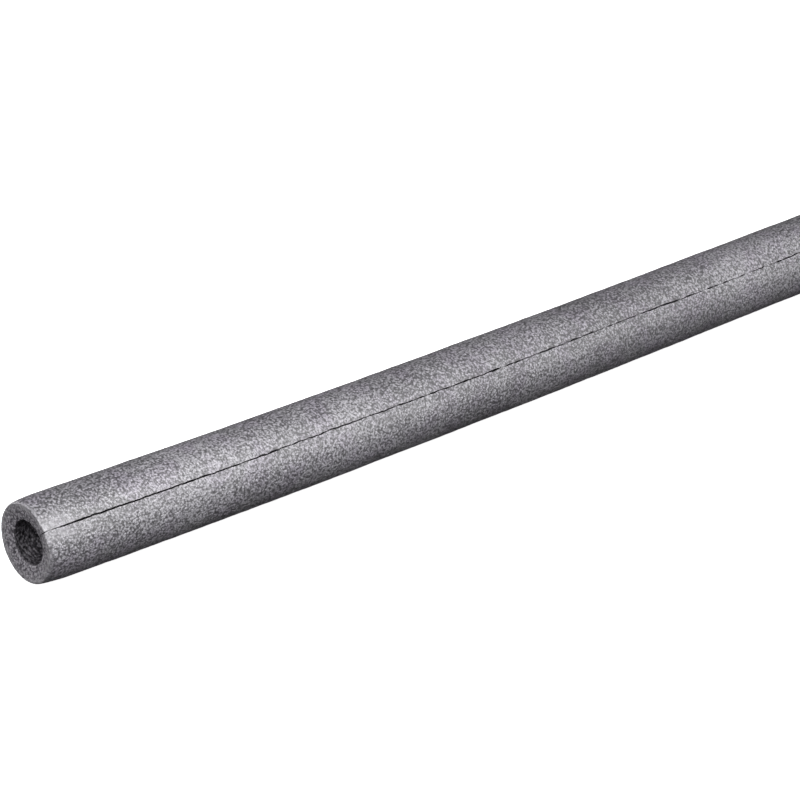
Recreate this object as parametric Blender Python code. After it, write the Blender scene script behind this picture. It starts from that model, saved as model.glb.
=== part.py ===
"""Foam pipe insulation: one length of closed-cell tube, slit along its side, lying on the floor with a gentle bow."""

import math

import bmesh
import bpy
from mathutils import Matrix, Vector

# Stock size: 9 mm wall on a 19 mm bore, for 18 mm pipe, sold in 1 m lengths.
LENGTH = 1.000
BORE_RADIUS = 0.0095
WALL = 0.009
OUTER_RADIUS = BORE_RADIUS + WALL

# The slit goes through the wall. Its angle is from straight up, towards -Y.
SLIT_ANGLE = math.radians(54.3)
SLIT_WIDTH = 0.0005

# The cut ends draw in: a rounded edge, then a shallow taper.
RIM_ROUND_DEPTH = 0.00065
RIM_ROUND_LENGTH = 0.0015
RIM_TAPER_DEPTH = 0.00087
RIM_TAPER_LENGTH = 0.016
LIP_ROUND_DEPTH = 0.0008
LIP_ROUND_LENGTH = 0.0016

# The bow in the floor plane: each half turns through BOW_TURN, most of it near the end.
BOW_REACH = 0.478
BOW_TURN = 0.0600
BOW_RISE = BOW_REACH * BOW_TURN / 3

# Mesh fineness: the steps put one row of the ring's points straight down, where the tube meets the floor.
RING_STEPS = 66
END_STATIONS = (0.0, 0.0001, 0.0004, 0.0009, 0.0016, 0.004, 0.008, 0.012, 0.016)
MIDDLE_SPACING = 0.048


def clear_scene():
    """Remove the objects and collections that a new file holds."""
    for item in list(bpy.data.objects):
        bpy.data.objects.remove(item, do_unlink=True)
    for group in list(bpy.data.collections):
        bpy.data.collections.remove(group)


def new_collection(name):
    """A collection linked to the scene."""
    group = bpy.data.collections.new(name)
    bpy.context.scene.collection.children.link(group)
    return group


def foam_material():
    """Grey closed-cell foam, dull all over."""
    made = bpy.data.materials.new("grey_foam")
    made.use_nodes = True
    shader = made.node_tree.nodes["Principled BSDF"]
    shader.inputs["Base Color"].default_value = (0.235, 0.225, 0.250, 1.0)
    shader.inputs["Roughness"].default_value = 0.85
    shader.inputs["Metallic"].default_value = 0.0
    return made


def round_drop(distance, depth, length):
    """How far a rounded edge stands back from its surface, this far in from the end."""
    if distance >= length:
        return 0.0
    share = 1.0 - distance / length
    return depth * (1.0 - math.sqrt(1.0 - share * share))


def outer_radius_at(distance):
    """Outer radius this far in from the nearer end."""
    drop = round_drop(distance, RIM_ROUND_DEPTH, RIM_ROUND_LENGTH)
    if distance < RIM_TAPER_LENGTH:
        drop += RIM_TAPER_DEPTH * (1.0 - distance / RIM_TAPER_LENGTH) ** 2
    return OUTER_RADIUS - drop


def bore_radius_at(distance):
    """Bore radius this far in from the nearer end."""
    return BORE_RADIUS + round_drop(distance, LIP_ROUND_DEPTH, LIP_ROUND_LENGTH)


def stations():
    """Distances along the tube at which its section is set."""
    middle = LENGTH - 2 * END_STATIONS[-1]
    count = round(middle / MIDDLE_SPACING)
    inner = [END_STATIONS[-1] + middle * i / count for i in range(1, count)]
    return list(END_STATIONS) + inner + [LENGTH - d for d in reversed(END_STATIONS)]


def slit_tube_mesh():
    """The wall's long section, spun about the X axis from one lip of the slit to the other."""
    mesh = bpy.data.meshes.new("foam_tube")
    bm = bmesh.new()
    along = stations()
    bmesh.ops.create_grid(bm, x_segments=len(along) - 1, y_segments=1, size=0.5)
    columns = sorted({round(v.co.x, 6) for v in bm.verts})
    for vert in bm.verts:
        x = along[columns.index(round(vert.co.x, 6))]
        inset = min(x, LENGTH - x)
        radius = outer_radius_at(inset) if vert.co.y > 0 else bore_radius_at(inset)
        vert.co = Vector((x, 0.0, radius))
    gap = SLIT_WIDTH / OUTER_RADIUS
    first_lip = Matrix.Rotation(SLIT_ANGLE + gap / 2, 4, "X")
    bmesh.ops.transform(bm, matrix=first_lip, verts=bm.verts)
    bmesh.ops.spin(
        bm,
        geom=bm.verts[:] + bm.edges[:] + bm.faces[:],
        cent=(0.0, 0.0, 0.0),
        axis=(1.0, 0.0, 0.0),
        angle=2 * math.pi - gap,
        steps=RING_STEPS,
        use_merge=False,
    )
    bmesh.ops.recalc_face_normals(bm, faces=bm.faces)
    bm.to_mesh(mesh)
    bm.free()
    return mesh


def bow_guide():
    """The tube's centreline on the floor plan: a short straight middle, and two ends that curve the same way."""
    run = BOW_REACH * (1.0 - BOW_TURN**2 / 10)
    middle = LENGTH / 2 - BOW_REACH
    tip = Vector((-middle - run, BOW_RISE, 0.0))
    knee = Vector((-middle, 0.0, 0.0))
    third = Vector((run / 3, 0.0, 0.0))
    fall = Vector((0.0, BOW_RISE, 0.0))
    near = [
        (tip - third + fall, tip, tip + third - fall),
        (knee - third, knee, knee + Vector((middle / 3, 0.0, 0.0))),
    ]
    across = Matrix.Scale(-1.0, 3, Vector((1.0, 0.0, 0.0)))
    far = [tuple(across @ handle for handle in reversed(point)) for point in reversed(near)]
    curve = bpy.data.curves.new("bow_guide", "CURVE")
    curve.dimensions = "3D"
    curve.twist_mode = "Z_UP"
    curve.resolution_u = 32
    spline = curve.splines.new("BEZIER")
    spline.bezier_points.add(len(near + far) - 1)
    for point, (left, at, right) in zip(spline.bezier_points, near + far):
        point.handle_left_type = "FREE"
        point.handle_right_type = "FREE"
        point.handle_left = left
        point.co = at
        point.handle_right = right
    return bpy.data.objects.new("bow_guide", curve)


def corners_of(item):
    """Lowest and highest corner of an object with its modifiers."""
    graph = bpy.context.evaluated_depsgraph_get()
    mesh = item.evaluated_get(graph).to_mesh()
    points = [item.matrix_world @ v.co for v in mesh.vertices]
    low = Vector([min(p[i] for p in points) for i in range(3)])
    high = Vector([max(p[i] for p in points) for i in range(3)])
    return low, high


def build():
    """Make the tube and set it on the floor, its box centred on the origin."""
    clear_scene()
    pieces = new_collection("pipe_insulation")
    guides = new_collection("guides")
    guides.hide_render = True

    guide = bow_guide()
    guide.hide_render = True
    guide.display_type = "WIRE"
    guides.objects.link(guide)

    tube = bpy.data.objects.new("foam_tube", slit_tube_mesh())
    pieces.objects.link(tube)
    tube.data.materials.append(foam_material())
    bend = tube.modifiers.new("bow", "CURVE")
    bend.object = guide
    bend.deform_axis = "POS_X"

    bpy.context.view_layer.update()
    low, high = corners_of(tube)
    shift = Vector((-(low.x + high.x) / 2, -(low.y + high.y) / 2, -low.z))
    tube.location = shift
    guide.location = shift
    bpy.context.view_layer.update()

    for face in tube.data.polygons:
        face.use_smooth = True
    tube.data.set_sharp_from_angle(angle=math.radians(40))


build()
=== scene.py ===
"""Grey foam pipe lagging: one length of closed-cell tube, slit along its side, on a pale floor.

The tube is modelled straight, with its slit at the top, then turned and bowed as it lies.
Sizes are in metres.
"""

from __future__ import annotations

import logging
import math
from dataclasses import dataclass, field
from enum import Enum

import bpy
import numpy as np
from mathutils import Matrix, Vector


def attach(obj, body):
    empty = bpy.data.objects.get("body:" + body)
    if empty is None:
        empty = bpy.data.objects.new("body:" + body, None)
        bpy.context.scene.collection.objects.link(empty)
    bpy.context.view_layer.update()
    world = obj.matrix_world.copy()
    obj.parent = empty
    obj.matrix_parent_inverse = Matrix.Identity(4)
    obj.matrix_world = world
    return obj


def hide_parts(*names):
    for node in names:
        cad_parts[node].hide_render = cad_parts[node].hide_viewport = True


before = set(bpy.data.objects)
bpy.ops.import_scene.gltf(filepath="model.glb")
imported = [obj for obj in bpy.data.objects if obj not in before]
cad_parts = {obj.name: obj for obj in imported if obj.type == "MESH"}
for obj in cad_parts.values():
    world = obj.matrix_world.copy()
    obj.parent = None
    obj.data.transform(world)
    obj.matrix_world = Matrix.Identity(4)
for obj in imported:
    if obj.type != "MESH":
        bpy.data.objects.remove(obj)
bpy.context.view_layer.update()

log = logging.getLogger("lagging")

MM = 0.001
MARK_TOLERANCE = 0.01 * MM
STRAIGHT_PLACES = "unbent"

Socket = bpy.types.NodeSocket
Colour = tuple[float, float, float]


# Named choices

class FaceKind(Enum):
    """The surfaces of the foam, by how each was made. The value is the material slot."""

    SKIN = 0
    CUT = 1
    BORE = 2
    SLIT = 3


class Axis(Enum):
    """The directions in which points are pushed."""

    ALONG = "X"
    ACROSS = "Y"


class CellForm(Enum):
    """What a cell pattern measures."""

    ROUND = "F1"
    SOFT = "SMOOTH_F1"
    WALLS = "DISTANCE_TO_EDGE"


class Blend(Enum):
    """How a colour is laid over another."""

    COVER = "MIX"
    STAIN = "MULTIPLY"


class Maths(Enum):
    """The sums that a material makes."""

    PLUS = "ADD"
    MINUS = "SUBTRACT"
    TIMES = "MULTIPLY"
    LESSER = "MINIMUM"
    SIZE = "ABSOLUTE"
    POWER = "POWER"
    ROOT = "SQRT"


# Working on a mesh

class Bench:
    """Holds one mesh object while it is shaped in edit mode."""

    def __init__(self, item: bpy.types.Object) -> None:
        """Take a mesh object onto the bench."""
        self.item = item

    def activate(self) -> None:
        """Make this object the only one selected, and the active one."""
        if bpy.context.object and bpy.context.object.mode != "OBJECT":
            bpy.ops.object.mode_set(mode="OBJECT")
        bpy.ops.object.select_all(action="DESELECT")
        self.item.select_set(True)
        bpy.context.view_layer.objects.active = self.item

    def points(self) -> np.ndarray:
        """Read where the mesh's points are.

        Returns:
            Their places, one row each.
        """
        places = np.empty(len(self.item.data.vertices) * 3, dtype=np.float32)
        self.item.data.vertices.foreach_get("co", places)
        return places.reshape(-1, 3).astype(float)

    def edge_ends(self) -> np.ndarray:
        """Read which points the mesh's edges join.

        Returns:
            The two point numbers of each edge, one row each.
        """
        ends = np.empty(len(self.item.data.edges) * 2, dtype=np.int32)
        self.item.data.edges.foreach_get("vertices", ends)
        return ends.reshape(-1, 2)

    def face_vectors(self, kind: str) -> np.ndarray:
        """Read a vector of each face.

        Args:
            kind: Which one, center or normal.

        Returns:
            The vectors, one row each.
        """
        values = np.empty(len(self.item.data.polygons) * 3, dtype=np.float32)
        self.item.data.polygons.foreach_get(kind, values)
        return values.reshape(-1, 3)

    def pick(self, chosen: np.ndarray, lines: bool = True) -> None:
        """Select points and go to edit mode.

        Args:
            chosen: True for each point to select.
            lines: Whether the edges between those points are selected with them.
        """
        self.activate()
        bpy.context.tool_settings.mesh_select_mode = (not lines, lines, False)
        mesh = self.item.data
        between = chosen[self.edge_ends()].all(axis=1) & lines
        mesh.vertices.foreach_set("select", chosen)
        mesh.edges.foreach_set("select", between)
        mesh.polygons.foreach_set("select", np.zeros(len(mesh.polygons), dtype=bool))
        bpy.ops.object.mode_set(mode="EDIT")

    def pick_all(self) -> None:
        """Select the whole mesh and stay in edit mode."""
        self.activate()
        bpy.ops.object.mode_set(mode="EDIT")
        bpy.ops.mesh.select_all(action="SELECT")

    def done(self) -> None:
        """Leave edit mode."""
        bpy.ops.object.mode_set(mode="OBJECT")

    def weigh(self, name: str, weights: np.ndarray) -> None:
        """Paint a vertex group, in steps of a hundredth.

        Args:
            name: The group's name.
            weights: One weight from 0 to 1 for each point.
        """
        group = self.item.vertex_groups.new(name=name)
        steps = np.round(np.clip(weights, 0.0, 1.0), 2)
        for step in np.unique(steps[steps > 0.0]):
            group.add(np.flatnonzero(steps == step).tolist(), float(step), "REPLACE")

    def apply(self, modifier: bpy.types.Modifier) -> None:
        """Apply a modifier to the mesh."""
        self.activate()
        bpy.ops.object.modifier_apply(modifier=modifier.name)

    def push(self, name: str, axis: Axis, weights: np.ndarray, reach: float) -> None:
        """Move points along an axis by painted weights.

        Args:
            name: Name of the vertex group and the modifier.
            axis: Which way the points move.
            weights: One weight from 0 to 1 for each point.
            reach: How far a point of weight 1 moves.
        """
        self.weigh(name, weights)
        shift = self.item.modifiers.new(name, "DISPLACE")
        shift.direction = axis.value
        shift.vertex_group = name
        shift.mid_level = 0.0
        shift.strength = reach
        self.apply(shift)


# Sizes of the stock

@dataclass(frozen=True)
class Stock:
    """The foam as it is sold: a 9 mm wall on a 19 mm bore, for 18 mm pipe, in 1 m lengths."""

    length: float = 1.000
    bore_radius: float = 0.0095
    wall: float = 0.009

    @property
    def outer_radius(self) -> float:
        """Radius over the skin."""
        return self.bore_radius + self.wall

    @property
    def middle_radius(self) -> float:
        """Radius halfway through the wall."""
        return self.bore_radius + self.wall / 2


@dataclass(frozen=True)
class CutEnd:
    """How the cut ends draw in.

    Outside there is a rounded edge and a shallow taper. The face is dished, with a rounded lip at
    the bore, and the mouth of the bore is pulled a little out of round. The stations are the
    distances in from the end at which the section is set.
    """

    round_depth: float = 0.00065
    round_length: float = 0.0015
    taper_depth: float = 0.00087
    taper_length: float = 0.016
    lip_depth: float = 0.00035
    lip_length: float = 0.0008
    dish: float = 0.0015
    dish_reach: float = 0.012
    dish_curve: float = 1.25
    mouth_pull: float = 0.0008
    mouth_angle: float = math.radians(115.0)
    mouth_wall: float = 0.004
    mouth_reach: float = 0.010
    stations: tuple[float, ...] = (
        0.00004, 0.00016, 0.00038, 0.0007, 0.0011, 0.0016,
        0.0026, 0.0042, 0.0064, 0.0092, 0.0124, 0.016,
    )

    @staticmethod
    def rounded(distance: float, depth: float, length: float) -> float:
        """Work out how far a rounded edge stands back from its surface.

        Args:
            distance: How far in from the end.
            depth: The edge's depth at the end.
            length: How far in the edge reaches.

        Returns:
            The distance it stands back.
        """
        if distance >= length:
            return 0.0
        share = 1.0 - distance / length
        return depth * (1.0 - math.sqrt(1.0 - share * share))

    def outer_drop(self, distance: float) -> float:
        """Work out how far the skin is drawn in.

        Args:
            distance: How far in from the end.

        Returns:
            The drop towards the axis.
        """
        taper = max(0.0, 1.0 - distance / self.taper_length)
        edge = self.rounded(distance, self.round_depth, self.round_length)
        return edge + self.taper_depth * taper**2

    def bore_rise(self, distance: float) -> float:
        """How far the bore is opened, this far from the end."""
        return self.rounded(distance, self.lip_depth, self.lip_length)


@dataclass(frozen=True)
class Bow:
    """The gentle bow in the floor plane.

    Each half turns through the same small angle, most of it near its end.
    """

    stock: Stock
    reach: float = 0.478
    turn: float = 0.0600
    middle_offset: float = -0.004424
    curve_steps: int = 32

    @property
    def rise(self) -> float:
        """How far each end stands aside from the straight middle."""
        return self.reach * self.turn / 3

    def handles(self) -> list[tuple[Vector, Vector, Vector]]:
        """Lay out the near half's points: its tip, and the knee where the middle begins.

        A cubic that turns through a small angle has a run shorter than its length, by a tenth
        of the angle's square.

        Returns:
            For each point, its left handle, its place and its right handle.
        """
        run = self.reach * (1.0 - self.turn**2 / 10)
        middle = self.stock.length / 2 - self.reach
        tip = Vector((-middle - run, self.rise, 0.0))
        knee = Vector((-middle, 0.0, 0.0))
        third = Vector((run / 3, 0.0, 0.0))
        fall = Vector((0.0, self.rise, 0.0))
        return [
            (tip - third + fall, tip, tip + third - fall),
            (knee - third, knee, knee + Vector((middle / 3, 0.0, 0.0))),
        ]

    def guide(self) -> bpy.types.Object:
        """Draw the centreline on the floor plan, the far half mirroring the near one.

        Returns:
            The guide curve, for the Curve modifier.
        """
        near = self.handles()
        across = Matrix.Scale(-1.0, 3, Vector((1.0, 0.0, 0.0)))
        far = [tuple(across @ handle for handle in reversed(point)) for point in reversed(near)]
        curve = bpy.data.curves.new("bow_guide", "CURVE")
        curve.dimensions = "3D"
        curve.twist_mode = "Z_UP"
        curve.resolution_u = self.curve_steps
        spline = curve.splines.new("BEZIER")
        spline.bezier_points.add(len(near + far) - 1)
        for point, (left, at, right) in zip(spline.bezier_points, near + far):
            point.handle_left_type = "FREE"
            point.handle_right_type = "FREE"
            point.handle_left = left
            point.co = at
            point.handle_right = right
        guide = bpy.data.objects.new("bow_guide", curve)
        bpy.context.collection.objects.link(guide)
        return guide


@dataclass(frozen=True)
class Slit:
    """The blade's cut through the wall, and how its two lips lie.

    The lips stand apart in a small notch at the rim, pinch together just behind it, gape most
    about two centimetres in, and lie closer and more ragged towards the middle. Gaps and rags,
    which are how far the gap wavers, go with distances from the nearer end. Drifts go with
    distances from the near end.
    """

    angle: float = math.radians(54.3)
    width: float = 0.0009
    shut_limit: float = 0.94
    soft_reach: float = 0.007
    gap_marks: tuple[float, ...] = (
        0.0, 0.002, 0.007, 0.011, 0.016, 0.035,
        0.060, 0.110, 0.180, 0.260, 0.360, 0.500,
    )
    gaps: tuple[float, ...] = (
        0.00050, 0.00018, 0.00044, 0.00064, 0.00076, 0.00072,
        0.00068, 0.00066, 0.00058, 0.00055, 0.00050, 0.00045,
    )
    rag_marks: tuple[float, ...] = (0.0, 0.02, 0.10, 0.30, 0.50)
    rags: tuple[float, ...] = (0.00003, 0.00012, 0.00018, 0.00027, 0.00030)
    rag_step: float = 0.0022
    drift_reach: float = 0.012
    drift_limit: float = 0.0010
    drift_marks: tuple[float, ...] = (
        0.0, 0.02, 0.05, 0.07, 0.095, 0.12, 0.155, 0.19, 0.22,
        0.26, 0.30, 0.35, 0.39, 0.43, 0.48, 0.65, 0.82, 1.0,
    )
    drifts: tuple[float, ...] = (
        -0.0001, -0.00002, -0.0001, -0.00014, -0.00048, -0.0003, -0.00004, -0.0003, -0.0005,
        -0.0007, -0.0006, -0.0003, -0.00092, -0.00095, -0.0008, -0.0003, 0.0001, 0.0,
    )
    drift_points: int = 400
    drift_window: int = 25
    sway: float = 0.00012
    sway_step: float = 0.0017
    seed: int = 18

    def gap_share(self, along: np.ndarray, length: float) -> np.ndarray:
        """Work out how far the lips have closed, along the tube.

        Args:
            along: Distances from the near end.
            length: The tube's length.

        Returns:
            For each distance, 0 where the slit has its full width and 1 where the lips touch.
        """
        inset = np.minimum(along, length - along)
        rng = np.random.default_rng(self.seed)
        steps = np.arange(0.0, length + 2 * self.rag_step, self.rag_step)
        ragged = np.interp(along, steps, rng.normal(0.0, 1.0, len(steps)))
        gap = np.interp(inset, self.gap_marks, self.gaps)
        gap = gap + np.interp(inset, self.rag_marks, self.rags) * ragged
        return np.clip(1.0 - gap / self.width, 0.0, self.shut_limit)

    def drift(self, along: np.ndarray) -> np.ndarray:
        """Work out how far round the skin the cut has strayed from its straight line.

        Args:
            along: Distances from the near end.

        Returns:
            For each distance, the drift towards the side that lies on top.
        """
        fine = np.linspace(0.0, self.drift_marks[-1], self.drift_points)
        rough = np.interp(fine, self.drift_marks, self.drifts)
        window = np.hanning(self.drift_window)
        longer = np.pad(rough, len(window) // 2, mode="edge")
        smooth = np.convolve(longer, window / window.sum(), mode="valid")
        rng = np.random.default_rng(self.seed + 1)
        steps = np.arange(0.0, self.drift_marks[-1] + 2 * self.sway_step, self.sway_step)
        swaying = np.interp(along, steps, rng.normal(0.0, self.sway, len(steps)))
        return np.interp(along, fine, smooth) + swaying


@dataclass(frozen=True)
class Unevenness:
    """One layer of soft relief: the size of its lumps, and its most from hollow to crest."""

    name: str
    group: str
    size: float
    height: float


UNEVEN = "uneven"
CUT_FACES = "cut_faces"
RELIEF = (
    Unevenness("waves", UNEVEN, 0.022, 0.00030),
    Unevenness("lumps", UNEVEN, 0.0045, 0.00022),
    Unevenness("tears", CUT_FACES, 0.0030, 0.00040),
)


# Materials

class NodeSheet:
    """A material's node tree, with short ways to add and join nodes."""

    MIX_SHARE = 0
    MIX_UNDER = 6
    MIX_OVER = 7
    MIX_RESULT = 2
    NOISE_DETAIL = 2.0

    def __init__(self, name: str) -> None:
        """Start a material with a Principled shader.

        Args:
            name: The material's name.
        """
        self.material = bpy.data.materials.new(name)
        self.material.use_nodes = True
        self.tree = self.material.node_tree
        self.shader = self.tree.nodes["Principled BSDF"]

    def add(self, kind: str) -> bpy.types.Node:
        """Add a node of this type."""
        return self.tree.nodes.new(kind)

    def join(self, source: Socket, target: Socket) -> None:
        """Link an output to an input."""
        self.tree.links.new(source, target)

    def maths(
        self, operation: Maths, first: Socket | float, second: Socket | float = 0.0
    ) -> Socket:
        """Add a sum.

        Args:
            operation: What it does.
            first: A socket or a number.
            second: A socket or a number, where it takes two.

        Returns:
            Its output.
        """
        node = self.add("ShaderNodeMath")
        node.operation = operation.value
        for slot, value in zip(node.inputs, (first, second)):
            if isinstance(value, Socket):
                self.join(value, slot)
            else:
                slot.default_value = value
        return node.outputs[0]

    def plus(self, first: Socket, second: Socket | float) -> Socket:
        """Add two values."""
        return self.maths(Maths.PLUS, first, second)

    def minus(self, first: Socket | float, second: Socket) -> Socket:
        """Take the second value from the first."""
        return self.maths(Maths.MINUS, first, second)

    def times(self, first: Socket, second: Socket | float) -> Socket:
        """Multiply two values."""
        return self.maths(Maths.TIMES, first, second)

    def spread(
        self, value: Socket, low: float, high: float, to_low: float = 0.0, to_high: float = 1.0
    ) -> Socket:
        """Map a value smoothly from one range to another.

        Args:
            value: The socket to map.
            low: Start of its range.
            high: End of its range.
            to_low: What the start becomes.
            to_high: What the end becomes.

        Returns:
            The mapped value.
        """
        node = self.add("ShaderNodeMapRange")
        node.interpolation_type = "SMOOTHSTEP"
        self.join(value, node.inputs["Value"])
        node.inputs["From Min"].default_value = low
        node.inputs["From Max"].default_value = high
        node.inputs["To Min"].default_value = to_low
        node.inputs["To Max"].default_value = to_high
        return node.outputs["Result"]

    def noise(self, place: Socket, scale: float, rough: float = 0.5) -> Socket:
        """Add a Noise texture.

        Args:
            place: Where the pattern is read.
            scale: How many lumps there are in a metre.
            rough: How strong the finer octaves are.

        Returns:
            The noise's value.
        """
        node = self.add("ShaderNodeTexNoise")
        self.join(place, node.inputs["Vector"])
        node.inputs["Scale"].default_value = scale
        node.inputs["Detail"].default_value = self.NOISE_DETAIL
        node.inputs["Roughness"].default_value = rough
        return node.outputs["Fac"]

    def cells(self, place: Socket, scale: float, form: CellForm, smooth: float = 0.0) -> Socket:
        """Add a Voronoi texture.

        Args:
            place: Where the pattern is read.
            scale: How many cells there are in a metre.
            form: What it measures.
            smooth: How far soft cells run into each other.

        Returns:
            The distance that it measures.
        """
        node = self.add("ShaderNodeTexVoronoi")
        node.feature = form.value
        self.join(place, node.inputs["Vector"])
        node.inputs["Scale"].default_value = scale
        if form is CellForm.SOFT:
            node.inputs["Smoothness"].default_value = smooth
        return node.outputs["Distance"]

    def mix(
        self, amount: Socket, under: Socket | Colour, over: Colour, blend: Blend = Blend.COVER
    ) -> Socket:
        """Lay a colour over another.

        Args:
            amount: How much of it, from 0 to 1.
            under: The colour underneath.
            over: The colour laid on.
            blend: How the two are blended.

        Returns:
            The mixed colour.
        """
        node = self.add("ShaderNodeMix")
        node.data_type = "RGBA"
        node.blend_type = blend.value
        self.join(amount, node.inputs[self.MIX_SHARE])
        if isinstance(under, Socket):
            self.join(under, node.inputs[self.MIX_UNDER])
        else:
            node.inputs[self.MIX_UNDER].default_value = (*under, 1.0)
        node.inputs[self.MIX_OVER].default_value = (*over, 1.0)
        return node.outputs[self.MIX_RESULT]

    def bump(self, height: Socket, depth: float) -> None:
        """Put a height on the shader as a bump.

        Args:
            height: The height, in shares of the depth.
            depth: The depth.
        """
        node = self.add("ShaderNodeBump")
        node.inputs["Strength"].default_value = 1.0
        node.inputs["Distance"].default_value = depth
        self.join(height, node.inputs["Height"])
        self.join(node.outputs["Normal"], self.shader.inputs["Normal"])


class Spot:
    """Where a point of the surface lies on the straight tube, with its slit at the top."""

    def __init__(self, sheet: NodeSheet, length: float) -> None:
        """Read the stored places.

        Args:
            sheet: The material's node sheet.
            length: The tube's length.
        """
        stored = sheet.add("ShaderNodeAttribute")
        stored.attribute_name = STRAIGHT_PLACES
        self.place = stored.outputs["Vector"]
        split = sheet.add("ShaderNodeSeparateXYZ")
        sheet.join(self.place, split.inputs[0])
        along, self.across, self.up = split.outputs
        self.inset = sheet.maths(Maths.LESSER, along, sheet.minus(length, along))

    def radius(self, sheet: NodeSheet) -> Socket:
        """Work out the distance from the axis.

        Args:
            sheet: The material's node sheet.

        Returns:
            The distance.
        """
        across = sheet.maths(Maths.POWER, self.across, 2.0)
        up = sheet.maths(Maths.POWER, self.up, 2.0)
        return sheet.maths(Maths.ROOT, sheet.plus(across, up))


@dataclass(frozen=True)
class Pits:
    """Small burst cells in the skin, in patches, sunk in the bump and darkened with painted shade
    in their hollows.

    Scales count cells in a metre. A pit's core and rim are in shares of a cell from its middle.
    """

    scale: float = 130.0
    core: float = 0.05
    rim: float = 0.13
    field_scale: float = 60.0
    field_range: tuple[float, float] = (0.50, 0.62)
    darkness: float = 0.75
    shade: float = 0.45


@dataclass(frozen=True)
class PaintedHighlight:
    """A painted highlight: paler skin beside the slit at its two ends, where the light catches it.

    It fades out along the tube and across from the slit, and comes in over the height.
    """

    tint: Colour
    share: float = 0.34
    along: tuple[float, float] = (4.0 * MM, 24.0 * MM)
    across: tuple[float, float] = (2.5 * MM, 9.0 * MM)
    up: tuple[float, float] = (0.0, 5.0 * MM)


@dataclass(frozen=True)
class Rim:
    """The pale, broken edge where the skin was cut.

    A cut face has its skin edge as a radius. Its pale ring runs further in beside the slit.
    """

    tint: Colour
    skin_edge: float | None = None
    share: float = 0.85
    along: tuple[float, float] = (0.3 * MM, 1.8 * MM)
    ring: float = 1.2 * MM
    halo: float = 4.0 * MM
    halo_share: float = 0.34
    near_slit: tuple[float, float] = (2.0 * MM, 13.0 * MM)
    near_slit_width: float = 1.1 * MM
    break_scale: float = 330.0
    break_range: tuple[float, float] = (0.38, 0.60)
    break_least: float = 0.15
    grain_range: tuple[float, float] = (0.35, 0.62)
    grain_least: float = 0.25


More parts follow.
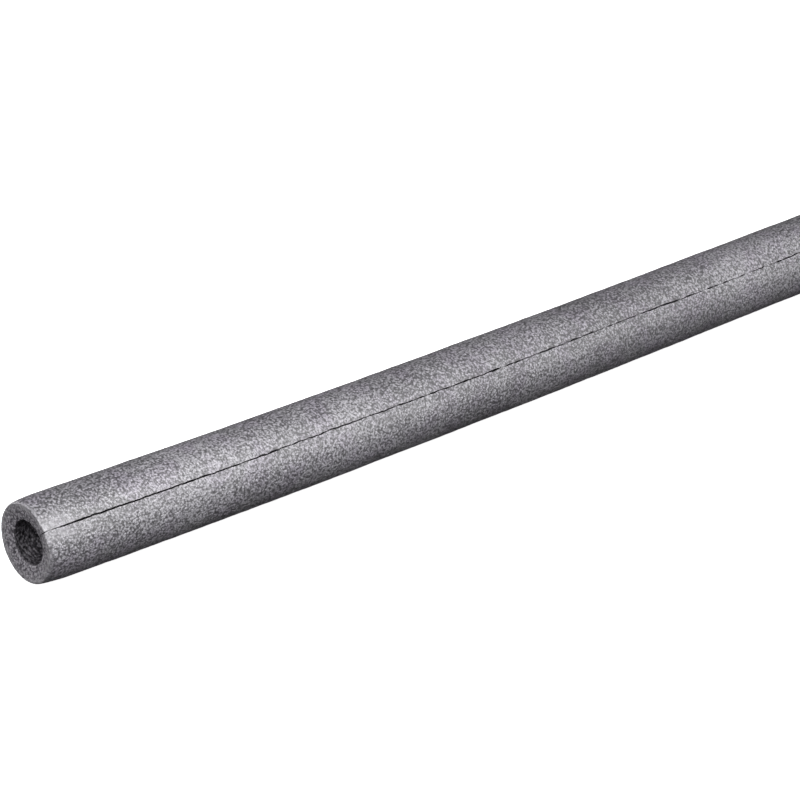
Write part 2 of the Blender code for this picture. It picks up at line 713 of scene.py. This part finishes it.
@dataclass(frozen=True)
class FoamFinish:
    """Grey closed-cell foam. The pattern follows the straight tube, so that it bends with it.

    The cell is the size across one cell. The cells differ in how light they are, and stand proud
    or sink by the relief. The scales of grain, clumps, soft patches and walls count their lumps
    in a cell's width, and the cool scale counts them in a metre. The parts of the height go to
    beads, grain and clumps, and those of the shade to beads, grain and soft patches.
    """

    name: str
    dark: Colour
    light: Colour
    cell: float
    relief: float
    roughness: float
    specular: float
    pits: Pits | None = None
    open_cells: bool = False
    cool_tint: Colour | None = None
    painted_highlight: PaintedHighlight | None = None
    rim: Rim | None = None
    bead_smooth: float = 0.35
    bead_reach: float = 0.9
    grain_scale: float = 0.80
    grain_rough: float = 0.6
    clump_scale: float = 0.11
    soft_scale: float = 0.02
    height_parts: tuple[float, float, float] = (0.55, 0.9, 0.8)
    shade_parts: tuple[float, float, float] = (0.25, 0.6, 0.15)
    shade_range: tuple[float, float] = (0.34, 0.70)
    cool_scale: float = 75.0
    cool_range: tuple[float, float] = (0.42, 0.66)
    wall_scale: float = 1.3
    wall_range: tuple[float, float] = (0.02, 0.30)
    hollow_depth: float = 0.7
    rough_range: tuple[float, float] = (0.3, 0.7)
    rough_spread: float = 0.06

    def build(self, length: float) -> bpy.types.Material:
        """Make the material.

        Args:
            length: The tube's length, for the edges at its ends.

        Returns:
            The material.
        """
        sheet = NodeSheet(self.name)
        spot = Spot(sheet, length)
        scale = 1.0 / self.cell
        distance = sheet.cells(spot.place, scale, CellForm.SOFT, self.bead_smooth)
        beads = sheet.spread(distance, 0.0, self.bead_reach, 1.0, 0.0)
        grain = sheet.noise(spot.place, self.grain_scale * scale, self.grain_rough)
        clumps = sheet.noise(spot.place, self.clump_scale * scale)
        soft = sheet.noise(spot.place, self.soft_scale * scale)
        height = self.add_up(sheet, (beads, grain, clumps), self.height_parts)
        shade = self.add_up(sheet, (beads, grain, soft), self.shade_parts)
        colour = sheet.mix(sheet.spread(shade, *self.shade_range), self.dark, self.light)
        if self.cool_tint:
            cool = sheet.spread(sheet.noise(spot.place, self.cool_scale), *self.cool_range)
            colour = sheet.mix(cool, colour, self.cool_tint, Blend.STAIN)
        if self.open_cells:
            walls = sheet.cells(spot.place, self.wall_scale * scale, CellForm.WALLS)
            hollow = sheet.spread(walls, *self.wall_range)
            height = sheet.minus(height, sheet.times(hollow, self.hollow_depth))
        # Pits sink the bump, and their darker colour is painted shade in each burst cell's hollow.
        if self.pits:
            pit = self.burst(sheet, spot, self.pits)
            pit_painted_shade = tuple(self.pits.shade * part for part in self.dark)
            colour = sheet.mix(sheet.times(pit, self.pits.darkness), colour, pit_painted_shade)
            height = sheet.minus(height, pit)
        # Painted highlight: a paler tint on the skin beside the slit at the ends, where the light
        # catches it.
        if self.painted_highlight:
            colour = sheet.mix(self.highlight_share(sheet, spot, self.painted_highlight), colour, self.painted_highlight.tint)
        if self.rim:
            colour = self.edged(sheet, spot, self.rim, grain, colour)
        sheet.join(colour, sheet.shader.inputs["Base Color"])
        dull, smooth = self.roughness + self.rough_spread, self.roughness - self.rough_spread
        rough = sheet.spread(grain, *self.rough_range, dull, smooth)
        sheet.join(rough, sheet.shader.inputs["Roughness"])
        sheet.shader.inputs["Specular IOR Level"].default_value = self.specular
        sheet.bump(height, self.relief)
        return sheet.material

    @staticmethod
    def add_up(sheet: NodeSheet, values: tuple[Socket, ...], parts: tuple[float, ...]) -> Socket:
        """Add patterns up, each by its part.

        Args:
            sheet: The material's node sheet.
            values: The patterns' values.
            parts: How much of each is added.

        Returns:
            The total.
        """
        total, *rest = (sheet.times(value, part) for value, part in zip(values, parts))
        for value in rest:
            total = sheet.plus(total, value)
        return total

    @staticmethod
    def burst(sheet: NodeSheet, spot: Spot, pits: Pits) -> Socket:
        """Scatter the pits.

        Args:
            sheet: The material's node sheet.
            spot: Where on the tube.
            pits: Their sizes.

        Returns:
            1 in a pit and 0 outside.
        """
        distance = sheet.cells(spot.place, pits.scale, CellForm.ROUND)
        pit = sheet.spread(distance, pits.core, pits.rim, 1.0, 0.0)
        patches = sheet.spread(sheet.noise(spot.place, pits.field_scale), *pits.field_range)
        return sheet.times(pit, patches)

    @staticmethod
    def highlight_share(sheet: NodeSheet, spot: Spot, painted_highlight: PaintedHighlight) -> Socket:
        """Place the painted highlight beside the slit.

        Args:
            sheet: The material's node sheet.
            spot: Where on the tube.
            painted_highlight: How far the painted highlight reaches.

        Returns:
            How much of the tint shows.
        """
        share = sheet.spread(spot.inset, *painted_highlight.along, painted_highlight.share, 0.0)
        aside = sheet.spread(sheet.maths(Maths.SIZE, spot.across), *painted_highlight.across, 1.0, 0.0)
        share = sheet.times(share, aside)
        return sheet.times(share, sheet.spread(spot.up, *painted_highlight.up))

    @staticmethod
    def edged(sheet: NodeSheet, spot: Spot, rim: Rim, grain: Socket, colour: Socket) -> Socket:
        """Lay the rim's pale edge over a colour.

        Args:
            sheet: The material's node sheet.
            spot: Where on the tube.
            rim: The edge's sizes.
            grain: The foam's grain, which breaks the edge up.
            colour: The colour underneath.

        Returns:
            The edged colour.
        """
        edge = sheet.spread(spot.inset, *rim.along, 1.0, 0.0)
        breaks = sheet.noise(spot.place, rim.break_scale)
        edge = sheet.times(edge, sheet.spread(breaks, *rim.break_range, rim.break_least))
        edge = sheet.times(edge, sheet.spread(grain, *rim.grain_range, rim.grain_least))
        if rim.skin_edge:
            wider = sheet.spread(spot.up, *rim.near_slit, 0.0, rim.near_slit_width)
            out = sheet.plus(spot.radius(sheet), wider)
            ring = sheet.spread(out, rim.skin_edge - rim.ring, rim.skin_edge)
            halo = sheet.spread(out, rim.skin_edge - rim.halo, rim.skin_edge, 0.0, rim.halo_share)
            edge = sheet.times(edge, ring)
            colour = sheet.mix(halo, colour, rim.tint)
        return sheet.mix(sheet.times(edge, rim.share), colour, rim.tint)


SKIN_FOAM = FoamFinish(
    name="skin_foam",
    dark=(0.066, 0.064, 0.069),
    light=(0.440, 0.428, 0.462),
    cell=1.00 * MM,
    relief=0.28 * MM,
    roughness=0.42,
    specular=1.0,
    pits=Pits(),
    cool_tint=(0.98, 0.945, 1.0),
    # Painted highlight beside the slit: a paler tint where the light catches the skin.
    painted_highlight=PaintedHighlight(tint=(0.385, 0.374, 0.400)),
    rim=Rim(tint=(0.36, 0.35, 0.375)),
)
CUT_FOAM = FoamFinish(
    name="cut_foam",
    dark=(0.078, 0.072, 0.085),
    light=(0.500, 0.476, 0.520),
    cell=1.0 * MM,
    relief=0.55 * MM,
    roughness=0.8,
    specular=0.3,
    open_cells=True,
    rim=Rim(tint=(0.38, 0.37, 0.39), skin_edge=16.7 * MM),
)
# Painted shade: the bore's colour is made far darker than the skin's, standing in for the shade
# deep inside the bore.
SHADED_BORE_FOAM = FoamFinish(
    name="shaded_bore_foam",
    dark=(0.009, 0.008, 0.011),
    light=(0.158, 0.149, 0.166),
    cell=1.3 * MM,
    relief=0.80 * MM,
    roughness=0.7,
    specular=0.3,
)
SLIT_FOAM = FoamFinish(
    name="slit_foam",
    dark=(0.100, 0.096, 0.104),
    light=(0.280, 0.270, 0.290),
    cell=0.8 * MM,
    relief=0.20 * MM,
    roughness=0.9,
    specular=0.2,
)


# The tube

@dataclass
class FoamTube:
    """One length of lagging: straight stock, slit, with drawn-in ends, lying with a bow.

    A face is cut foam when it looks squarely along the tube, and the slit's when it looks
    sideways at the top, both as the least share of its normal.
    """

    stock: Stock = field(default_factory=Stock)
    end: CutEnd = field(default_factory=CutEnd)
    slit: Slit = field(default_factory=Slit)
    ring_steps: int = 96
    bays: int = 8
    skin_cuts: int = 99
    bore_cuts: int = 11
    face_cuts: int = 5
    squarely: float = 0.97
    sideways: float = 0.9
    skin_depth: float = 0.5 * MM
    lip_clearance: float = 2.0 * MM
    rim_clearance: float = 3.0 * MM
    crisp_angle: float = math.radians(38.0)

    def build(self) -> bpy.types.Object:
        """Model, bend and dress the tube.

        Returns:
            The finished piece.
        """
        bench = Bench(self.section())
        self.cut_stations(bench)
        self.draw_in_ends(bench)
        self.divide_lines(bench)
        self.spin_wall(bench)
        self.mark_faces(bench)
        self.keep_straight_places(bench)
        self.dish_ends(bench)
        self.lay_lips(bench)
        self.roughen(bench)
        self.turn_slit(bench)
        self.stretch_mouths(bench)
        self.bend(bench)
        self.dress(bench)
        return bench.item

    def section(self) -> bpy.types.Object:
        """Add the wall's long section as a plane standing over the X axis.

        Returns:
            The section.
        """
        bpy.ops.object.select_all(action="DESELECT")
        middle = (self.stock.length / 2, 0.0, self.stock.middle_radius)
        upright = (math.pi / 2, 0.0, 0.0)
        bpy.ops.mesh.primitive_plane_add(size=1.0, location=middle, rotation=upright)
        item = bpy.context.object
        item.name = item.data.name = "foam_tube_skin"
        item.scale = (self.stock.length, self.stock.wall, 1.0)
        bpy.ops.object.transform_apply(location=True, rotation=True, scale=True)
        return item

    def bay_marks(self) -> list[float]:
        """Where the straight middle is cut into equal bays."""
        start, stop = self.end.stations[-1], self.stock.length - self.end.stations[-1]
        return [start + (stop - start) * i / self.bays for i in range(1, self.bays)]

    def cut_stations(self, bench: Bench) -> None:
        """Cut the section across wherever its outline changes.

        Args:
            bench: The section on its bench.
        """
        far_stations = [self.stock.length - distance for distance in self.end.stations]
        for mark in [*self.end.stations, *self.bay_marks(), *far_stations]:
            bench.pick_all()
            bpy.ops.mesh.bisect(plane_co=(mark, 0.0, 0.0), plane_no=(1.0, 0.0, 0.0))
            bench.done()

    def draw_in_ends(self, bench: Bench) -> None:
        """Round the rims, taper the ends and open the lips of the bore.

        Args:
            bench: The section on its bench.
        """
        for distance in (0.0, *self.end.stations):
            moves = ((-self.end.outer_drop(distance), True), (self.end.bore_rise(distance), False))
            for mark in (distance, self.stock.length - distance):
                for move, outer in moves:
                    places = bench.points()
                    at_mark = np.abs(places[:, 0] - mark) < MARK_TOLERANCE
                    on_side = (places[:, 2] > self.stock.middle_radius) == outer
                    bench.pick(at_mark & on_side, lines=False)
                    bpy.ops.transform.translate(value=(0.0, 0.0, move))
                    bench.done()

    def divide_lines(self, bench: Bench) -> None:
        """Give the skin, the bore and the end faces the points that their relief needs.

        Args:
            bench: The section on its bench.
        """
        bays_start = self.end.stations[-1] - MARK_TOLERANCE
        for cuts, outer in ((self.skin_cuts, True), (self.bore_cuts, False)):
            places = bench.points()
            inset = np.minimum(places[:, 0], self.stock.length - places[:, 0])
            on_side = (places[:, 2] > self.stock.middle_radius) == outer
            bench.pick((inset > bays_start) & on_side)
            bpy.ops.mesh.subdivide(number_cuts=cuts)
            bench.done()
        for mark in (0.0, self.stock.length):
            bench.pick(np.abs(bench.points()[:, 0] - mark) < MARK_TOLERANCE)
            bpy.ops.mesh.subdivide(number_cuts=self.face_cuts)
            bench.done()

    def spin_wall(self, bench: Bench) -> None:
        """Spin the section about the tube's axis, from one lip of the slit to the other.

        Args:
            bench: The section on its bench.
        """
        gap = self.slit.width / self.stock.outer_radius
        bench.activate()
        bench.item.rotation_euler.x = -gap / 2
        bpy.ops.object.transform_apply(location=False, rotation=True, scale=False)
        bench.pick_all()
        bpy.ops.mesh.spin(
            steps=self.ring_steps,
            angle=2 * math.pi - gap,
            center=(0.0, 0.0, 0.0),
            axis=(1.0, 0.0, 0.0),
            use_auto_merge=False,
        )
        bpy.ops.mesh.select_all(action="SELECT")
        bpy.ops.mesh.normals_make_consistent(inside=False)
        bpy.ops.mesh.select_all(action="DESELECT")
        bpy.context.tool_settings.mesh_select_mode = (False, False, True)
        bpy.ops.mesh.select_face_by_sides(number=4, type="GREATER")
        bpy.ops.mesh.quads_convert_to_tris(quad_method="BEAUTY", ngon_method="BEAUTY")
        bench.done()

    def mark_faces(self, bench: Bench) -> None:
        """Give each face the slot of its kind, by its place and its normal.

        Args:
            bench: The straight tube on its bench.
        """
        mesh = bench.item.data
        centre, normal = bench.face_vectors("center"), bench.face_vectors("normal")
        radius = np.hypot(centre[:, 1], centre[:, 2])
        kind = np.full(len(centre), FaceKind.SKIN.value, dtype=np.int32)
        kind[radius < self.stock.bore_radius + self.end.lip_depth] = FaceKind.BORE.value
        kind[np.abs(normal[:, 0]) > self.squarely] = FaceKind.CUT.value
        at_top = (np.abs(centre[:, 1]) < self.slit.width) & (centre[:, 2] > 0.0)
        kind[(np.abs(normal[:, 1]) > self.sideways) & at_top] = FaceKind.SLIT.value
        for finish in (SKIN_FOAM, CUT_FOAM, SHADED_BORE_FOAM, SLIT_FOAM):
            mesh.materials.append(finish.build(self.stock.length))
        mesh.polygons.foreach_set("material_index", kind)

    def keep_straight_places(self, bench: Bench) -> None:
        """Store each point's place on the straight tube, for the patterns to follow."""
        kept = bench.item.data.attributes.new(STRAIGHT_PLACES, "FLOAT_VECTOR", "POINT")
        kept.data.foreach_set("vector", bench.points().astype(np.float32).ravel())

    def around(self, bench: Bench) -> tuple[np.ndarray, np.ndarray, np.ndarray]:
        """Measure where the points lie round the tube's axis.

        Args:
            bench: The tube on its bench, still straight.

        Returns:
            For each point, its distance from the axis, its angle from straight up towards +Y,
            and its distance from the nearer end.
        """
        along, across, up = bench.points().T
        inset = np.minimum(along, self.stock.length - along)
        return np.hypot(across, up), np.arctan2(across, up), inset

    def dish_ends(self, bench: Bench) -> None:
        """Sink each end face towards the bore, as foam springs back from the blade.

        Args:
            bench: The straight tube on its bench.
        """
        radius, _, inset = self.around(bench)
        rim = self.stock.outer_radius - self.end.outer_drop(0.0)
        sunk = np.clip((rim - radius) / (rim - self.stock.bore_radius), 0.0, 1.0)
        sunk = sunk**self.end.dish_curve * np.clip(1.0 - inset / self.end.dish_reach, 0.0, 1.0) ** 2
        far = bench.points()[:, 0] > self.stock.length / 2
        bench.push("near_dish", Axis.ALONG, np.where(far, 0.0, sunk), self.end.dish)
        bench.push("far_dish", Axis.ALONG, np.where(far, sunk, 0.0), -self.end.dish)

    def lay_lips(self, bench: Bench) -> None:
        """Bring the slit's lips to their gap and let the cut drift.

        Args:
            bench: The straight tube on its bench.
        """
        radius, angle, _ = self.around(bench)
        along, across, _ = bench.points().T
        half = self.slit.width / 2
        share = radius / self.stock.outer_radius
        arc = np.maximum(np.abs(angle) * self.stock.outer_radius - half * share, 0.0)
        near = np.clip(1.0 - arc / self.slit.soft_reach, 0.0, 1.0) ** 2
        shut = self.slit.gap_share(along, self.stock.length) * near * share
        bench.push("first_lip", Axis.ACROSS, np.where(across < 0.0, shut, 0.0), half)
        bench.push("second_lip", Axis.ACROSS, np.where(across > 0.0, shut, 0.0), -half)
        wide = np.clip(1.0 - arc / self.slit.drift_reach, 0.0, 1.0) ** 2
        drift = self.slit.drift(along) * wide * share / self.slit.drift_limit
        bench.push("drift_up", Axis.ACROSS, drift, self.slit.drift_limit)
        bench.push("drift_down", Axis.ACROSS, -drift, -self.slit.drift_limit)

    def roughen(self, bench: Bench) -> None:
        """Raise the foam's soft unevenness on every surface, fading out at its cut edges.

        Args:
            bench: The straight tube on its bench.
        """
        radius, angle, inset = self.around(bench)
        away = np.abs(angle) * self.stock.outer_radius / self.lip_clearance
        away = np.clip(away, 0.0, 1.0)
        skin = radius > self.stock.outer_radius - self.skin_depth
        bore = radius < self.stock.bore_radius + self.skin_depth
        behind_rim = np.clip(inset / self.rim_clearance, 0.0, 1.0)
        bench.weigh(UNEVEN, (skin | bore) * behind_rim * away)
        bench.weigh(CUT_FACES, (inset < MARK_TOLERANCE) * away)
        for layer in RELIEF:
            texture = bpy.data.textures.new(layer.name, "CLOUDS")
            texture.noise_scale = layer.size
            relief = bench.item.modifiers.new(layer.name, "DISPLACE")
            relief.texture = texture
            relief.texture_coords = "LOCAL"
            relief.direction = "NORMAL"
            relief.vertex_group = layer.group
            relief.strength = layer.height
            bench.apply(relief)

    def turn_slit(self, bench: Bench) -> None:
        """Turn the straight tube until its slit is at its place.

        Args:
            bench: The straight tube on its bench.
        """
        bench.activate()
        bench.item.rotation_euler.x = self.slit.angle
        bpy.ops.object.transform_apply(location=False, rotation=True, scale=False)

    def stretch_mouths(self, bench: Bench) -> None:
        """Pull the mouth of the bore a little out of round, low on the side of the slit.

        Args:
            bench: The straight tube on its bench, its slit turned to its place.
        """
        radius, angle, inset = self.around(bench)
        facing = np.cos(-angle - self.end.mouth_angle)
        depth = (radius - self.stock.bore_radius) / self.end.mouth_wall
        near_end = np.clip(1.0 - inset / self.end.mouth_reach, 0.0, 1.0)
        weight = np.clip(1.0 - depth, 0.0, 1.0) * (np.clip(facing, 0.0, 1.0) ** 2 * near_end)
        bench.push("mouth", Axis.ACROSS, weight, -self.end.mouth_pull)

    def bend(self, bench: Bench) -> None:
        """Bow the tube and set it on the floor.

        Args:
            bench: The straight tube on its bench.
        """
        bow = Bow(self.stock)
        guide = bow.guide()
        bowing = bench.item.modifiers.new("bow", "CURVE")
        bowing.object = guide
        bowing.deform_axis = "POS_X"
        bench.apply(bowing)
        bpy.data.objects.remove(guide, do_unlink=True)
        bench.activate()
        bench.item.location = (0.0, bow.middle_offset, -float(bench.points()[:, 2].min()))
        bpy.ops.object.transform_apply(location=True, rotation=False, scale=False)

    def dress(self, bench: Bench) -> None:
        """Smooth the shading, keeping the cut edges crisp, and tie the piece to the frame.

        Args:
            bench: The bowed tube on its bench.
        """
        bench.pick_all()
        bpy.ops.mesh.normals_make_consistent(inside=False)
        bench.done()
        bench.item.vertex_groups.clear()
        bpy.ops.object.shade_smooth_by_angle(angle=self.crisp_angle)
        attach(bench.item, "root")
        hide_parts("foam_tube")


# The picture

@dataclass(frozen=True)
class SoftLight:
    """A square soft light, aimed at the tube's near half.

    Bearing is round the vertical from +X, and height is up from the floor, both in degrees as
    seen from the aim.
    """

    name: str
    bearing: float
    height: float
    distance: float
    size: float
    power: float
    aim: tuple[float, float, float] = (-0.38, 0.0, 0.02)

    def build(self) -> None:
        """Hang the light and turn it to its aim."""
        bearing, height = math.radians(self.bearing), math.radians(self.height)
        level = math.cos(height)
        way = Vector((math.cos(bearing) * level, math.sin(bearing) * level, math.sin(height)))
        lamp = bpy.data.lights.new(self.name, "AREA")
        lamp.shape = "SQUARE"
        lamp.size = self.size
        lamp.energy = self.power
        item = bpy.data.objects.new(self.name, lamp)
        bpy.context.scene.collection.objects.link(item)
        item.location = Vector(self.aim) + way * self.distance
        item.rotation_euler = (-way).to_track_quat("-Z", "Y").to_euler()
        item.visible_camera = False


@dataclass
class Studio:
    """A pale floor, soft lights and the camera at the photograph's angle."""

    floor_size: float = 12.0
    floor_shade: float = 0.9
    floor_roughness: float = 0.9
    floor_glow: float = 0.95
    room_light: float = 0.03
    lens: float = 147.87
    sensor: float = 36.0
    sight: float = 50.0
    camera_place: tuple[float, float, float] = (-1.241764, -0.965790, 0.600869)
    camera_turn: tuple[float, float, float] = (66.848, 0.0, -44.591)
    lights: tuple[SoftLight, ...] = (
        SoftLight("key", 278.0, 50.0, 0.75, 0.4, 4.2, aim=(-0.34, 0.0, 0.02)),
        SoftLight("end_high", 200.0, 30.0, 0.75, 0.4, 4.1),
        SoftLight("end_low", 180.0, 10.0, 0.75, 0.4, 0.6),
        SoftLight("side_low", 300.0, 10.0, 2.2, 1.0, 17.8),
        SoftLight("side_high", 318.0, 50.0, 2.2, 1.0, 7.0),
        SoftLight("back_light", 90.0, 5.0, 2.2, 1.0, 17.0),
        SoftLight("far_light", 0.0, 5.0, 2.2, 1.0, 14.5),
    )

    def build(self) -> None:
        """Lay the floor, hang the lights and place the camera."""
        self.lay_floor()
        for light in self.lights:
            light.build()
        self.light_room()
        self.place_camera()

    def lay_floor(self) -> None:
        """Lay the pale floor, which glows a little so that it reads as white paper."""
        bpy.ops.object.select_all(action="DESELECT")
        bpy.ops.mesh.primitive_plane_add(size=self.floor_size, location=(0.0, 0.0, 0.0))
        floor = bpy.context.object
        floor.name = floor.data.name = "floor"
        sheet = NodeSheet("pale_floor")
        shade = self.floor_shade
        sheet.shader.inputs["Base Color"].default_value = (shade, shade, shade, 1.0)
        sheet.shader.inputs["Roughness"].default_value = self.floor_roughness
        sheet.shader.inputs["Emission Color"].default_value = (1.0, 1.0, 1.0, 1.0)
        sheet.shader.inputs["Emission Strength"].default_value = self.floor_glow
        floor.data.materials.append(sheet.material)
        floor.visible_diffuse = False
        floor.visible_glossy = False

    def light_room(self) -> None:
        """Fill the room with an even light."""
        world = bpy.data.worlds.new("room")
        world.use_nodes = True
        background = world.node_tree.nodes["Background"]
        background.inputs["Color"].default_value = (1.0, 1.0, 1.0, 1.0)
        background.inputs["Strength"].default_value = self.room_light
        bpy.context.scene.world = world

    def place_camera(self) -> None:
        """Stand the camera where the photograph was taken from."""
        lens = bpy.data.cameras.new("photo_camera")
        lens.lens = self.lens
        lens.sensor_width = self.sensor
        lens.clip_end = self.sight
        camera = bpy.data.objects.new("photo_camera", lens)
        bpy.context.scene.collection.objects.link(camera)
        camera.location = self.camera_place
        camera.rotation_euler = [math.radians(turn) for turn in self.camera_turn]
        bpy.context.scene.camera = camera
        bpy.context.scene.view_settings.view_transform = "Standard"


def main() -> None:
    """Build the tube and the studio, and report the piece."""
    logging.basicConfig(level=logging.INFO, format="%(name)s: %(message)s")
    tube = FoamTube().build()
    tube.data.calc_loop_triangles()
    points, triangles = len(tube.data.vertices), len(tube.data.loop_triangles)
    log.info("%s: %d points, %d triangles", tube.name, points, triangles)
    Studio().build()
    log.info("studio set")


if __name__ == "__main__":
    main()
